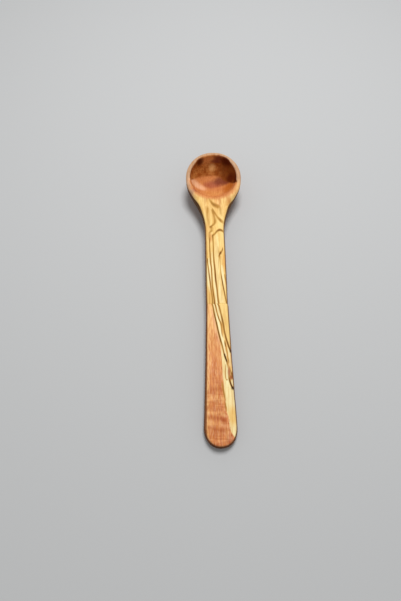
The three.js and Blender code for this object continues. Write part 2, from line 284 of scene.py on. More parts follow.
GRIP_VEINS = (
    # Long diagonal vein, ending in bark at the right edge
    Vein(0.85, ((-4.9, SPLICE, 0.8), (-4.0, -26.5, 0.8), (-3.0, -33.7, 0.9), (-1.5, -41.3, 1.0),
                (0.1, -49.8, 1.0), (2.1, -59.7, 1.0), (3.6, -66, 0.75), (4.7, -71.5, 0.8), (6.0, -76.4, 1.0),
                (7.6, -81.6, 0.7), (8.2, -85.8, 0.4), (8.5, -90, 0.2), (8.8, -94.5, 0.7), (9.7, -99.9, 1.0),
                (11.2, -104, 1.0), (12.4, -105.2, 1.0))),
    # Second and third diagonal veins
    Vein(0.75, ((-2.5, SPLICE, 1.0), (-1.6, -25.5, 0.8), (-0.4, -32.2, 0.75), (1.3, -38.8, 0.85),
                (3.1, -43.9, 0.75), (3.5, -48, 0.55), (3.7, -53.8, 0.45), (5.0, -58, 0))),
    Vein(0.95, ((0.5, SPLICE, 0.85), (1.6, -25.5, 0.75), (3.2, -32.8, 0.75), (4.6, -39.9, 0.9),
                (5.7, -48.9, 0.8), (7.0, -56.3, 0.85), (8.4, -62.1, 0.95), (9.9, -67.6, 0.95),
                (11.2, -70.6, 1.0))),
    # Short marks between the veins and the right edge
    Vein(0.8, ((5.9, -59.5, 0), (6.1, -61.5, 0.6), (6.4, -64.1, 0.85), (7.2, -67.4, 0.55), (7.7, -71.3, 0.6),
               (8.1, -75.1, 0.5), (8.6, -78.8, 0.6), (8.9, -82.5, 0))),
    Vein(0.55, ((6.1, -82, 0), (5.9, -86, 0.55), (5.6, -93.5, 0.6), (6.1, -96.7, 0.55), (6.6, -98, 0))),
    Vein(0.6, ((5.4, -96, 0), (5.9, -96.5, 0.4), (6.9, -97, 0.5), (7.9, -95.5, 0.3), (8.3, -95, 0)),
         across=True),
    Vein(1.3, ((9.2, -85, 0), (9.9, -87, 0.7), (10.5, -89.8, 0.95), (11.3, -92.2, 1.0), (12.6, -94.6, 1.0)),
         across=True),
    # Broken line along the edge of the heartwood
    Vein(0.75, ((2.2, -99, 0), (2.6, -102.5, 0.6), (3.3, -107, 0.7), (3.9, -111.4, 0.65), (4.4, -115.8, 0.3),
                (4.8, -120.1, 0.7), (5.3, -125, 0))),
)

BARK_LINES = (
    # Bark inside the long vein
    Vein(0.75, ((5.1, -72.5, 0), (5.5, -74.3, 0.9), (6.0, -76.4, 1.0), (6.8, -78.6, 0.8), (7.3, -80.5, 0))),
    Vein(0.6, ((9.1, -97, 0), (9.7, -99.9, 0.5), (11.2, -104, 0.9), (12.4, -105.2, 1.0))),
)

GRIP_STRIPES = (
    # Pale stripes along the diagonal veins
    Vein(1.25, ((-3.4, SPLICE, 0.3), (-2.4, -27.5, 0.85), (-1.0, -34.7, 1.0), (1.0, -44.9, 1.0),
                (2.5, -52.3, 1.0), (3.8, -58.6, 1.0), (4.8, -64.2, 0.9), (5.2, -68, 0))),
    Vein(1.1, ((-0.9, SPLICE, 0.7), (0.1, -25.5, 0.85), (1.7, -33.8, 0.85), (2.8, -38.8, 0.6),
               (3.6, -43, 0))),
    Vein(0.7, ((5.2, -66.5, 0), (5.6, -69.5, 0.8), (6.4, -72.5, 0.8), (7.0, -75.5, 0))),
    Vein(0.9, ((9.2, -63, 0), (9.3, -67.4, 0.6), (9.6, -72, 0.7), (10.0, -79, 0.6), (10.4, -85, 0))),
    Vein(1.5, ((6.4, -78, 0), (6.8, -84, 0.8), (7.2, -93, 0.9), (7.2, -98, 0.9), (8, -104, 0))),
)

GRIP_SALMON = (
    # Pinker wood at the left of the long vein
    Vein(1.6, ((-4.6, -28, 0), (-3.6, -37.8, 0.9), (-2.0, -46.8, 0.9), (-0.8, -54.7, 1.0), (0.6, -62, 0.4),
               (1.6, -68, 0))),
)

GRIP_RIPPLES = (
    # Bands across the grip where the fibres dip
    Vein(2.6, ((-12.5, -129, 0.3), (-10, -129.4, 0.9), (-4, -130.3, 0.9), (2.8, -132, 1.0), (5.5, -133, 0)),
         across=True),
    Vein(2.2, ((-12.5, -137.8, 0.2), (-9, -138.6, 0.8), (-4.3, -139.9, 0.9), (2.5, -141.2, 0.8),
               (5.5, -142, 0)), across=True),
    Vein(2.8, ((-10.5, -104.8, 0.4), (-4, -105.2, 0.7), (2, -105.8, 0.7), (3.5, -106, 0)), across=True),
    Vein(1.8, ((-11, -121.5, 0), (-7, -122, 0.5), (-2, -122.8, 0.6), (3, -123.5, 0.2)), across=True),
)

GRIP_LIGHTS = (
    # Paler bands across the grip where the fibres rise
    Vein(2.6, ((-11, -112.4, 0.4), (-4, -113.2, 0.9), (2, -114, 0.9), (4.2, -114.5, 0.3)), across=True),
    Vein(2.0, ((-12, -124.8, 0.6), (-4, -126, 0.5), (3, -127, 0.9), (5.5, -127.6, 0.4)), across=True),
    Vein(2.2, ((-12.5, -134, 0.7), (-6, -134.8, 0.6), (2, -136, 0.4), (5, -137, 0)), across=True),
)

# Right edge of the heartwood on the grip, as (x, y)
HEART_EDGE = ((-4.9, SPLICE), (-3.7, -31.6), (-1.7, -43.8), (0, -52.8), (2.2, -64.5), (2.5, -74),
              (2.8, -80.6), (3.0, -88), (3.2, -95.3), (3.7, -100.8), (4.4, -112.3), (5.3, -119.3),
              (6.5, -127), (7.8, -137), (8.3, -140.5), (9.3, -143.3), (11.5, -146.2), (14, -148))

SHAFT_STAINS = (
    # Amber at the edges of the handle, heartwood and ochre on the flare
    Stain("heartwood", (0, 92, 23), (18, 18, 9), 0.2),
    Stain("amber", (9.4, 24, 18), (2.8, 14, 6), 0.9),
    Stain("amber", (-9.2, -14, 15.5), (3.4, 14, 6), 0.6),
    Stain("amber", (-7.6, 60, 20.5), (2.2, 9, 4), 0.6),
    Stain("heartwood", (-4.6, 50.5, 20.3), (2.4, 5.5, 3), 0.6),
    Stain("ochre", (16, 96.5, 23.6), (3.0, 7, 3), 0.6),
    Stain("ochre", (5.9, 95, 24), (1.7, 8.5, 3), 0.55),
    Stain("ochre", (-9.4, 97.5, 24.3), (2.2, 6, 3), 0.4),
    Stain("pale_heartwood_and_painted_light", (2.4, 92.5, 23.5), (3.4, 4, 3), 0.8),
    Stain("red_heartwood", (3.6, 88.4, 22.5), (3.0, 2.2, 2), 0.8),
)

RIM_STAINS = (
    # Near half of the rim; the two pale patches at the right are painted light on the flare's sloping right
    # face
    Stain("pale_heartwood_and_painted_light", (-17.5, 103, 25), (5, 5, 4), 0.8),
    Stain("pale_heartwood_and_painted_light", (22.5, 104.5, 24.5), (9, 9, 6), 1.0),
    Stain("pale_heartwood_and_painted_light", (27.5, 112, 26), (4, 8, 5), 0.6),
    Stain("heartwood", (-22.8, 111, 26.3), (4, 3, 3), 0.7),
    Stain("pink_heartwood", (-25.0, 119, 27), (3.0, 5.0, 4), 0.7),
)

BOWL_STAINS = (
    # Floor and near side; the plum patches lie along the edge of the painted shadow as its soft edge
    Stain("amber", (0.5, 117, 8), (13, 6, 5), 0.25),
    Stain("rose_heartwood", (-20, 108.6, 25.5), (6, 3, 3), 0.8),
    Stain("pink_heartwood", (-20, 125, 16), (10.5, 5.2, 11), 1.0),
    Stain("pink_heartwood", (-12, 124.7, 9.5), (6.5, 3.2, 4), 0.4),
    Stain("ochre", (18, 121.5, 14), (8.5, 8, 8), 1.0),
    Stain("rose_heartwood", (-0.5, 130.2, 7.6), (12, 4.4, 4), 0.8),
    Stain("plum_heartwood_and_painted_shadow", (8.5, 133.6, 10), (9, 5, 6), 0.85),
    Stain("plum_heartwood_and_painted_shadow", (15, 130.5, 12.5), (6, 4, 5), 0.85),
)

FAR_STAINS = (
    # Far side, in the painted shadow beyond its edge; the heartwood patch at the top is painted light where
    # the rim shades the wall, and the dark patches at the right are partly painted shade
    Stain("heartwood", (-5.5, 149, 28.5), (9, 6, 6), 0.75),
    Stain("pale_heartwood_and_painted_light", (-0.7, 146.2, 18.4), (4, 4, 4), 0.6),
    Stain("dark_heartwood_in_painted_shadow", (-14.6, 145.2, 28.6), (4.8, 5, 5.5), 0.9),
    Stain("plum_heartwood_and_painted_shadow", (3.4, 148.8, 25), (6, 4, 2), 0.8),
    Stain("plum_heartwood_and_painted_shadow", (6, 149, 28.6), (5, 4.5, 4.4), 0.8),
    Stain("dark_heartwood_in_painted_shadow", (15, 145, 28.6), (7, 6, 6), 0.9),
    Stain("dark_heartwood_in_painted_shadow", (19.5, 131, 17.5), (7, 6.5, 6), 0.9),
    Stain("dark_heartwood_in_painted_shadow", (24.5, 123.5, 24), (4, 8, 6), 0.9),
)

STRIP_STAINS = (
    # Strip of sapwood on the grip
    Stain("amber", (4.2, -48, 15), (1.8, 9, 3), 0.8),
    Stain("pale_heartwood_and_painted_light", (6.9, -69, 14), (1.6, 10, 3), 0.8),
    Stain("pale_heartwood_and_painted_light", (10.6, -79, 13.3), (2.4, 10, 4), 0.8),
    Stain("honey", (11, -128.5, 11), (5.2, 9, 5), 0.9),
)

HEART_STAINS = (
    # Redder wood towards the end of the grip
    Stain("red_heartwood", (7.4, -146, 9.8), (3.4, 5, 4), 0.7),
    Stain("rose_heartwood", (6.9, -147.4, 9.8), (2.8, 3.8, 4), 1.0),
    Stain("red_heartwood", (2.5, -131, 11), (3.5, 5, 3), 0.5),
)

KNOT_STAINS = (
    # Brown wood along the bark at the right edge
    Stain("rose_heartwood", (8.8, -91, 13), (1.4, 8, 3), 0.85),
    Stain("rose_heartwood", (10.4, -95.2, 12.6), (1.8, 2.4, 3), 0.9),
    Stain("brown_heartwood_and_painted_shadow", (12, -92.5, 12), (2.0, 3.4, 3), 0.9),
    Stain("cream", (11.1, -99.9, 12.3), (0.9, 3.4, 2.5), 0.95),
)

BARK_STAINS = (
    # Bark where two veins run out at the right edge
    Stain("bark", (12.2, -104.4, 12.2), (2.2, 2.0, 2.2), 1.0),
    Stain("bark", (11.4, -70.2, 13.6), (1.7, 2.0, 2.2), 1.0),
)

# Edge of the painted shadow that the far rim casts across the bowl, as (x, y); the far side beyond it is
# painted darker
PAINTED_SHADOW_EDGE = ((-25, 122), (-20, 130.7), (-14.3, 135.7), (-8.6, 138.3), (0, 139.6), (6.1, 138.4),
              (12.7, 132.6), (19, 126.4), (25, 116))


# Surfaces that the woods follow: the handle, the rim, the hollow and the left edge of the grip

HANDLE_TOP = 17.5
HANDLE_SLOPE = 0.052
RIM_HEIGHT = 29.0
RIM_SLOPE = 0.167
BOWL_Y = 125.0
HOLLOW_CENTRE = (0, 124.5, 32.2)
HOLLOW_RADIUS = 25.7
GRIP_LEFT = -9.3
GRIP_TAPER = 0.0234


# Veins: their lean into the wood, their spread, and how they fade with depth

VEIN_LEAN = 0.35
VEIN_SPREAD = 1.7
VEIN_SWAY = 0.5
VEIN_SWAY_SPAN = (5, 16, 6)
VEIN_DEPTH = Fade(6.0, 1.5)
VEIN_EDGE = Fade(0.04, 0.60, high=0.95)
VEIN_EDGE_DEPTH = Fade(2.0, 0.8)
VEIN_CORE = Fade(0.52, 1.0)


# Stains: the start and the end of their ragged edges, in reaches from the centre

STAIN_OUTSIDE = 1.75
STAIN_INSIDE = 0.7
STAIN_RAGGEDNESS = 0.7
PATCH_DETAIL = 3


# Fibres, streaks and pores of the oiled woods

FIBRE_SPAN = (0.4, 9, 0.4)
FIBRE_DETAIL = 3
FIBRE_DARKENING = Fade(0.42, 0.75, high=0.32)
FIBRE_SHADE = (0.72, 0.55, 0.40)
STREAKS = Grain((1.1, 26, 1.4), 0.44, 0.64, 0.56)
STREAK_SHADE = (0.80, 0.64, 0.46)
PORES = Grain((0.22, 2.4, 0.22), 0.64, 0.76, detail=1)
PORE_SHARE = 0.24
PORE_SHADE = (0.45, 0.30, 0.20)
PORE_DEPTH = 0.6


# Sheen and bump

OILED_SHEEN = Fade(0.25, 0.75, 0.5, 0.66)
BARE_SHEEN = Fade(0.25, 0.75, 0.68, 0.8)
WOOD_SPECULAR = 0.1
BUMP_STRENGTH = 0.35
BUMP_HEIGHT = 0.12 * MM


# Sides and underside, with growth rings about the heart of the tree, and painted shade on the flanks, darkest
# under the flare, at the end and on the left

TREE_HEART = (-9, 62)
RING_STEP = 2.3
HALF_RING = 0.5
RING_SWAY = 9.0
RING_SWAY_SPAN = (26, 90, 26)
RING_LINE = Fade(0.24, 0.0)
RING_BREAKS = Grain((12, 50, 12), 0.32, 0.62, least=0.15)
RING_SHARE = 0.75
RING_SHADE = (0.50, 0.38, 0.30)
# Painted shade on the flanks: shares of the side colour along the ladle, and across it with the left darker
SIDE_PAINTED_SHADE = ((-152, 0.6), (-136, 1.0), (62, 1.0), (82, 0.45), (100, 0.45), (118, 1.6))
SIDE_PAINTED_SHADE_ACROSS = Fade(-6, 6, 0.45, 0.55)
UNDERSIDE = Fade(12.0, 18.0)
UNDERSIDE_SWAY = 8.0
UNDERSIDE_SPAN = (6, 24, 6)
UNDERSIDE_DETAIL = 3
FLARE_LIP = Fade(88, 102, high=3.0)
FLARE_LIP_ACROSS = Fade(-12, 12, low=0.6)
SIDE_EDGE = Fade(0.5, 1.5, high=0.95)


# Shaft, rim and bowl

SHAFT_PATCHES = (7, 9, 5)
SHAFT_BANDS = Grain((3.2, 70, 5), 0.42, 0.68, 0.8)
SHAFT_STRIPE_SHARE = 0.8
RIM_ALONG = Fade(97, 106)
WALL_SWAY = 1.4
FINGERS = Fade(11.0, 5.5)
FINGERS_ALONG = Fade(112, 104)
FINGER_LENGTH = 8.0
FINGER_SPAN = (2.6, 14, 5)
FINGER_SHARE = 0.85
LIP_ASIDE = Fade(12, 22)
LIP_ALONG = Fade(112, 124)
LIP_DROP = 3.4
LIP_TOP = -2.0
BELOW_LIP = Fade(0.0, 0.9)
HOLLOW_INSIDE = 1.2
HOLLOW_OUTSIDE = Fade(120, 104, 2.6, 6.0)
BOWL_LAYERS = Grain((14, 8, 6), 0.42, 0.68, 0.45)
BOWL_MARBLE = Grain((6, 6, 4.5), 0.38, 0.62, detail=4, roughness=0.6)
# Painted shadow on the far side of the bowl: darker to the right, and its soft edge
FAR_RIGHT = Fade(6.0, 16.0, high=0.9)
FAR_RIGHT_SWAY = 6.0
PAINTED_SHADOW_FADE = Fade(-0.5, 2.5)
PAINTED_SHADOW_SWAY = 1.6


# Grip

GRIP_PATCHES = (5, 12, 5)
GRIP_BANDS = Grain((3, 60, 5), 0.42, 0.68, 0.8)
GRIP_STRIPE_SHARE = 0.95
CREAM_BESIDE_HEART = Fade(-5.0, -2.4)
CREAM_ALONG = Fade(-62, -70)
CREAM_END = Fade(-98, -106)
CREAM_SHARE = 0.55
TOOTH_LENGTH = 2.8
TOOTH_SPAN = (1.6, 3.4, 2)
TEETH_ALONG = Fade(-106, -118)
HEART_START = Fade(-0.5, 0.5)
HEART_LIGHTENING = Fade(-92, -34)
RED_STREAKS = Grain((2.0, 45, 4), 0.38, 0.66, detail=3)
RED_STREAKS_ALONG = Fade(-35, -90, 0.2, 0.75)
SALMON_SHARE = 0.7
# Painted highlight: a paler band along the left top edge of the grip
LEFT_EDGE_PAINTED_HIGHLIGHT = Fade(3.4, 1.4, high=0.85)
LIGHT_STREAKS = Grain((1.3, 30, 1.6), 0.50, 0.66, 0.6)
RED_FLECKS = Grain((0.9, 7, 1.2), 0.46, 0.64)
RED_FLECKS_ALONG = Fade(-30, -80, 0.4, 0.75)
PINK_GLINTS = Grain((0.6, 5, 1.1), 0.46, 0.66, 0.5)
PINK_GLINTS_ALONG = Fade(-60, -95, low=0.3)
FIBRE_WAVES = Grain((16, 2.8, 12), 0.40, 0.62, detail=1)
FIBRE_WAVES_ALONG = Fade(-85, -115, high=0.6)
RIPPLE_SHADE = (0.70, 0.52, 0.42)
MOTTLING = Grain((1.2, 6, 1.6), 0.36, 0.62, 0.6)
# Painted shade: a dark line along the left top edge of the grip
LEFT_EDGE_PAINTED_SHADE = Fade(0.9, 0.1, high=0.75)


# Dowel

DOWEL_SPAN = (1.5, 30, 1.5)
DOWEL_BANDS = Fade(0.35, 0.7, high=0.4)
DOWEL_FLECKS = Grain((0.3, 2.2, 0.3), 0.60, 0.70, 0.7, detail=1)


# Shader building

class WoodNodes:
    """Adds shader nodes to one material and wires them as they are made"""

    def __init__(self, name, patch_span=None):
        self.material = bpy.data.materials.new(name)
        self.material.use_nodes = True
        self.tree = self.material.node_tree
        self.shader = self.tree.nodes["Principled BSDF"]
        place = self.add("ShaderNodeTexCoord").outputs["Object"]
        self.point = self.vector("SCALE", place, scale=1 / MM)
        axes = self.add("ShaderNodeSeparateXYZ", {0: self.point}).outputs
        self.x, self.y, self.z = axes[0], axes[1], axes[2]
        handle_top = self.math("MULTIPLY_ADD", self.y, HANDLE_SLOPE, HANDLE_TOP)
        rim_top = self.math("MULTIPLY_ADD", self.y, RIM_SLOPE, RIM_HEIGHT - RIM_SLOPE * BOWL_Y)
        self.depth = self.math("SUBTRACT", self.math("MAXIMUM", handle_top, rim_top), self.z)
        sway = self.math("MULTIPLY_ADD", self.noise(VEIN_SWAY_SPAN), VEIN_SWAY, -VEIN_SWAY / 2)
        leaning = self.math("MULTIPLY_ADD", self.depth, -VEIN_LEAN, self.x)
        self.over = self.math("ADD", leaning, sway)
        self.forward = self.math("ADD", self.y, sway)
        self.patchiness = self.noise(patch_span, PATCH_DETAIL) if patch_span else 0.0

    def add(self, kind, inputs=None, **settings):
        """Makes a node; an input is a value, or a socket to join to it."""
        node = self.tree.nodes.new(kind)
        for name, setting in settings.items():
            setattr(node, name, setting)
        for socket, value in (inputs or {}).items():
            self.join(value, node.inputs[socket])
        return node

    def join(self, value, socket):
        """Wires a socket, or sets its value."""
        if isinstance(value, bpy.types.NodeSocket):
            self.tree.links.new(value, socket)
        elif socket.type == "RGBA":
            socket.default_value = (*value, 1.0)
        else:
            socket.default_value = value

    def math(self, operation, *values):
        """One sum on numbers."""
        return self.add("ShaderNodeMath", dict(enumerate(values)), operation=operation).outputs[0]

    def vector(self, operation, *values, scale=None):
        """One sum on vectors."""
        node = self.add("ShaderNodeVectorMath", dict(enumerate(values)), operation=operation)
        if scale is not None:
            self.join(scale, node.inputs["Scale"])
        return node.outputs[0]

    def ramp(self, value, start, end, low=0.0, high=1.0, kind="SMOOTHSTEP"):
        """Goes from low to high as the value goes from start to end."""
        inputs = dict(enumerate((value, start, end, low, high)))
        return self.add("ShaderNodeMapRange", inputs, interpolation_type=kind).outputs[0]

    def blend(self, share, under, over, kind="MIX"):
        """Lays one colour over another."""
        inputs = {0: share, 6: under, 7: over}
        return self.add("ShaderNodeMix", inputs, data_type="RGBA", blend_type=kind).outputs[2]

    def noise(self, span, detail=2.0, roughness=0.5):
        """Soft noise from 0 to 1 whose lumps have about the size of span."""
        scaled = self.vector("MULTIPLY", self.point, tuple(1 / side for side in span))
        inputs = {"Vector": scaled, "Scale": 1.0, "Detail": detail, "Roughness": roughness}
        return self.add("ShaderNodeTexNoise", inputs).outputs[0]

    def grain(self, grain):
        """How strong some grain is at each place."""
        noise = self.noise(grain.span, grain.detail, grain.roughness)
        return self.ramp(noise, grain.start, grain.full, grain.least, grain.most)

    def grain_along(self, grain, fade):
        """Grain whose strength changes along the ladle."""
        return self.math("MULTIPLY", self.grain(grain), self.ramp(self.y, *fade))

    def curve(self, value, points):
        """A smooth line through (place, height) points, level past both ends."""
        points = sorted(points)
        first, last = points[0][0], points[-1][0]
        low = min(height for place, height in points)
        span = max(height for place, height in points) - low
        if span == 0:
            return low
        node = self.add("ShaderNodeFloatCurve", {"Value": self.ramp(value, first, last, kind="LINEAR")})
        line = node.mapping.curves[0]
        shares = [((place - first) / (last - first), (height - low) / span) for place, height in points]
        line.points[0].location = shares[0]
        line.points[-1].location = shares[-1]
        for place, height in shares[1:-1]:
            line.points.new(place, height)
        node.mapping.update()
        return self.math("MULTIPLY_ADD", node.outputs[0], span, low)

    def vein(self, vein):
        """How near a vein is: its strength on its line and 0 away from it."""
        if vein.across:
            along, aside = self.x, self.forward
            route = [(x, y) for x, y, strength in vein.points]
            strengths = [(x, strength) for x, y, strength in vein.points]
        else:
            along, aside = self.y, self.over
            route = [(y, x) for x, y, strength in vein.points]
            strengths = [(y, strength) for x, y, strength in vein.points]
        gap = self.math("ABSOLUTE", self.math("SUBTRACT", aside, self.curve(along, route)))
        near = self.ramp(gap, vein.width * VEIN_SPREAD, 0.0)
        past_first = self.math("GREATER_THAN", along, min(route)[0])
        before_last = self.math("LESS_THAN", along, max(route)[0])
        inside = self.math("MULTIPLY", past_first, before_last)
        return self.math("MULTIPLY", self.math("MULTIPLY", near, self.curve(along, strengths)), inside)

    def veins(self, veins):
        """The strongest of several veins at each place."""
        field = self.vein(veins[0])
        for vein in veins[1:]:
            field = self.math("MAXIMUM", field, self.vein(vein))
        return field

    def far_from(self, centre, reach=(1, 1, 1)):
        """Distance from a point, measured in a reach along each axis."""
        away = self.vector("DIVIDE", self.vector("SUBTRACT", self.point, centre), reach)
        return self.add("ShaderNodeVectorMath", {0: away}, operation="LENGTH").outputs["Value"]

    def stain(self, under, stain, colours):
        """Lays a soft patch of another wood over a colour."""
        away = self.far_from(stain.centre, stain.reach)
        ragged = self.math("MULTIPLY_ADD", self.patchiness, STAIN_RAGGEDNESS, away)
        share = self.ramp(ragged, STAIN_OUTSIDE, STAIN_INSIDE, high=stain.strength)
        return self.blend(share, under, getattr(colours, stain.colour))

    def stains(self, under, stains, colours):
        """Lays several patches over a colour, one after the other."""
        for stain in stains:
            under = self.stain(under, stain, colours)
        return under


def finish_wood(wood, colour, height, grain, sheen):
    """Joins colour, bump and sheen to the shader; the sheen follows the grain."""
    shader = wood.shader.inputs
    wood.join(colour, shader["Base Color"])
    wood.join(wood.ramp(grain, *sheen), shader["Roughness"])
    wood.join(WOOD_SPECULAR, shader["Specular IOR Level"])
    bumps = {"Height": height, "Strength": BUMP_STRENGTH, "Distance": BUMP_HEIGHT}
    wood.join(wood.add("ShaderNodeBump", bumps).outputs[0], shader["Normal"])
    return wood.material


def oil_wood(wood, colour):
    """Fine fibres, streaks and open pores along the grain, under an oiled finish"""
    fibres = wood.noise(FIBRE_SPAN, FIBRE_DETAIL)
    pores = wood.grain(PORES)
    colour = wood.blend(wood.grain(STREAKS), colour, STREAK_SHADE, "MULTIPLY")
    colour = wood.blend(wood.ramp(fibres, *FIBRE_DARKENING), colour, FIBRE_SHADE, "MULTIPLY")
    colour = wood.blend(wood.math("MULTIPLY", pores, PORE_SHARE), colour, PORE_SHADE, "MULTIPLY")
    height = wood.math("MULTIPLY_ADD", pores, -PORE_DEPTH, fibres)
    return finish_wood(wood, colour, height, fibres, OILED_SHEEN)


def top_veins(wood, veins):
    """Veins of the top face, which fade out down the sides."""
    return wood.math("MULTIPLY", wood.veins(veins), wood.ramp(wood.depth, *VEIN_DEPTH))


def draw_veins(wood, colour, veins, colours):
    """Brown along each vein on the top face, and its dark core."""
    field = top_veins(wood, veins)
    on_top = wood.ramp(wood.depth, *VEIN_EDGE_DEPTH)
    edge = wood.math("MULTIPLY", wood.ramp(field, *VEIN_EDGE), on_top)
    colour = wood.blend(edge, colour, colours.vein_edge)
    return wood.blend(wood.ramp(field, *VEIN_CORE), colour, colours.vein)


def growth_rings(wood):
    """Rings about the heart of the tree, as broken lines of 0 to 1."""
    across = wood.math("SUBTRACT", wood.x, TREE_HEART[0])
    below = wood.math("SUBTRACT", wood.z, TREE_HEART[1])
    squares = [wood.math("MULTIPLY", side, side) for side in (across, below)]
    radius = wood.math("SQRT", wood.math("ADD", *squares))
    swaying = wood.math("MULTIPLY_ADD", wood.noise(RING_SWAY_SPAN), RING_SWAY, radius)
    to_ring = wood.math("PINGPONG", wood.math("DIVIDE", swaying, RING_STEP), HALF_RING)
    return wood.math("MULTIPLY", wood.ramp(to_ring, *RING_LINE), wood.grain(RING_BREAKS))


def paint_shade_on_sides(wood, colour, colours):
    """Deeper wood with growth rings on the sides and the underside, and painted shade on the flanks, darkest
    under the flare, at the end and on the left.
    """
    rings = wood.math("MULTIPLY", growth_rings(wood), RING_SHARE)
    side = wood.blend(rings, colours.side, RING_SHADE, "MULTIPLY")
    across = wood.ramp(wood.x, *SIDE_PAINTED_SHADE_ACROSS)
    # Painted shade: the side colour is darkened to about half on the upper flanks, a little more on the left,
    # most under the flare and at the end; further down the underside keeps the plain side colour
    light = wood.math("MULTIPLY", wood.curve(wood.y, SIDE_PAINTED_SHADE), across)
    streaks = wood.noise(UNDERSIDE_SPAN, UNDERSIDE_DETAIL)
    streaky_depth = wood.math("MULTIPLY_ADD", streaks, UNDERSIDE_SWAY, wood.depth)
    light = wood.math("MAXIMUM", light, wood.ramp(streaky_depth, *UNDERSIDE))
    side = wood.vector("SCALE", side, scale=light)
    # Under the flare the painted shade starts further below the top, most on the right
    lip = wood.math("MULTIPLY", wood.ramp(wood.y, *FLARE_LIP), wood.ramp(wood.x, *FLARE_LIP_ACROSS))
    below_edge = wood.math("SUBTRACT", wood.depth, lip)
    return wood.blend(wood.ramp(below_edge, *SIDE_EDGE), colour, side)


def bowl_wood_and_painted_shadow(wood, colours):
    """Tan, pink and rose wood on the floor and the near side of the bowl, and beyond the painted shadow edge
    the far side, marbled brown and darkened as painted shadow
    """
    near = wood.blend(wood.grain(BOWL_LAYERS), colours.bowl_heartwood, colours.heartwood)
    near = wood.stains(near, BOWL_STAINS, colours)
    far = wood.blend(wood.grain(BOWL_MARBLE), colours.brown_heartwood_and_painted_shadow, colours.hazel_heartwood_in_painted_shadow)
    to_right = wood.math("MULTIPLY_ADD", wood.patchiness, FAR_RIGHT_SWAY, wood.x)
    far = wood.blend(wood.ramp(to_right, *FAR_RIGHT), far, colours.umber_heartwood_and_painted_shade)
    far = wood.stains(far, FAR_STAINS, colours)
    # Painted shadow: beyond the far rim's shadow edge the darker far colours replace the near ones
    swaying = wood.math("MULTIPLY_ADD", wood.patchiness, PAINTED_SHADOW_SWAY, wood.y)
    beyond = wood.math("SUBTRACT", swaying, wood.curve(wood.x, PAINTED_SHADOW_EDGE))
    return wood.blend(wood.ramp(beyond, *PAINTED_SHADOW_FADE), near, far)


def line_bowl(wood, colour, colours):
    """Wood of the hollow up to its lip, and fingers of heartwood from there onto the flare"""
    past_wall = wood.math("SUBTRACT", wood.far_from(HOLLOW_CENTRE), HOLLOW_RADIUS)
    past_wall = wood.math("MULTIPLY_ADD", wood.patchiness, WALL_SWAY, past_wall)
    fingers = wood.math("MULTIPLY_ADD", wood.noise(FINGER_SPAN), FINGER_LENGTH, past_wall)
    near_lip = wood.math("MULTIPLY", wood.ramp(fingers, *FINGERS), wood.ramp(wood.y, *FINGERS_ALONG))
    colour = wood.blend(wood.math("MULTIPLY", near_lip, FINGER_SHARE), colour, colours.heartwood)
    aside = wood.ramp(wood.math("ABSOLUTE", wood.x), *LIP_ASIDE)
    drop = wood.math("MULTIPLY", aside, wood.ramp(wood.y, *LIP_ALONG))
    lip = wood.math("MULTIPLY_ADD", drop, LIP_DROP, LIP_TOP)
    below_lip = wood.ramp(wood.math("SUBTRACT", wood.depth, lip), *BELOW_LIP)
    outside = wood.ramp(wood.y, *HOLLOW_OUTSIDE)
    hollow = wood.math("MULTIPLY", wood.ramp(past_wall, outside, HOLLOW_INSIDE), below_lip)
    return wood.blend(hollow, colour, bowl_wood_and_painted_shadow(wood, colours))


def pale_olive_wood(colours):
    """Sapwood of the shaft and neck, with heartwood in and under the bowl, painted shade on the flanks and a
    painted shadow across the far side of the bowl
    """
    wood = WoodNodes("pale olive wood", SHAFT_PATCHES)
    colour = wood.blend(wood.grain(SHAFT_BANDS), colours.sapwood, colours.honey)
    colour = wood.stains(colour, SHAFT_STAINS, colours)
    stripes = wood.math("MULTIPLY", wood.veins(SHAFT_STRIPES), SHAFT_STRIPE_SHARE)
    colour = wood.blend(stripes, colour, colours.cream)
    rim = wood.stains(colours.rim, RIM_STAINS, colours)
    colour = wood.blend(wood.ramp(wood.y, *RIM_ALONG), colour, rim)
    colour = paint_shade_on_sides(wood, colour, colours)
    colour = line_bowl(wood, colour, colours)
    colour = draw_veins(wood, colour, SHAFT_VEINS, colours)
    return oil_wood(wood, colour)


def grip_sapwood(wood, into_heart, colours):
    """The strip of sapwood down the right side of the grip, cream beside the heartwood"""
    strip = wood.blend(wood.grain(GRIP_BANDS), colours.sapwood, colours.honey)
    beside_heart = wood.ramp(into_heart, *CREAM_BESIDE_HEART)
    beside_heart = wood.math("MULTIPLY", beside_heart, wood.ramp(wood.y, *CREAM_ALONG))
    cream = wood.math("MAXIMUM", beside_heart, wood.ramp(wood.y, *CREAM_END))
    strip = wood.blend(wood.math("MULTIPLY", cream, CREAM_SHARE), strip, colours.cream)
    strip = wood.stains(strip, STRIP_STAINS, colours)
    stripes = wood.math("MULTIPLY", wood.veins(GRIP_STRIPES), GRIP_STRIPE_SHARE)
    return wood.blend(stripes, strip, colours.cream)


